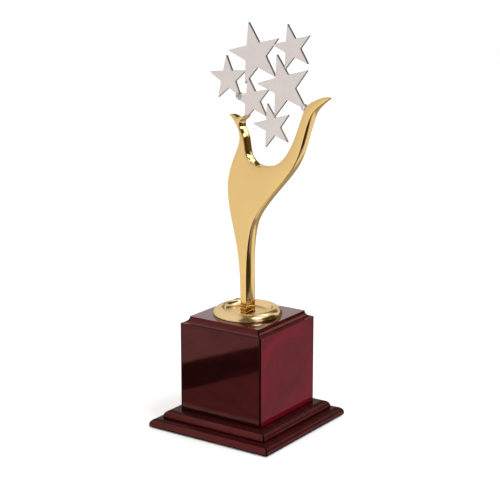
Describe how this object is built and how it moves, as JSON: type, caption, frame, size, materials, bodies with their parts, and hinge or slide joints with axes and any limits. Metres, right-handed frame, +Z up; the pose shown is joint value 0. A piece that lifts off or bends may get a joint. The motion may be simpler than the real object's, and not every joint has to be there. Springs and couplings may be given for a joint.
{
  "type": "star trophy",
  "caption": "Award trophy: a stylised cast figure with raised arms holds a cluster of flat stars above a square lacquered wood base.",
  "frame": {"origin": "centre of the felt underside, the face that the trophy stands on", "axes": "+Z up, -Y towards the front of the block, +X to the right; the figure and the stars lie in the XZ plane"},
  "size_m": [0.1298, 0.111, 0.3142],
  "materials": {
    "felt": "short-pile wool felt, matt",
    "lacquered_wood": "dark rosewood under clear gloss piano lacquer",
    "plain_wood": "unfinished softwood",
    "zinc_steel": "bright zinc plate",
    "gold": "polished pale gold plate",
    "silver": "satin silver plate"
  },
  "bodies": {
    "root": {"felt_pad": "felt", "plinth_lower_board": "lacquered_wood", "plinth_upper_board": "lacquered_wood", "block_panel_front": "lacquered_wood", "block_panel_right": "lacquered_wood", "block_panel_rear": "lacquered_wood", "block_panel_left": "lacquered_wood", "block_cap": "lacquered_wood", "corner_blocks": "plain_wood", "plinth_screws": "zinc_steel", "stud": "zinc_steel", "washer": "zinc_steel", "lock_washer": "zinc_steel", "nut": "zinc_steel", "flange_disc": "gold", "figure": "gold", "right_hand_lug": "silver", "left_star_lug": "silver", "star_large_right": "silver", "star_large_upper_left": "silver", "star_small_upper_right": "silver", "star_small_left": "silver", "star_small_lower_left": "silver", "star_small_bottom": "silver"}
  },
  "joints": []
}
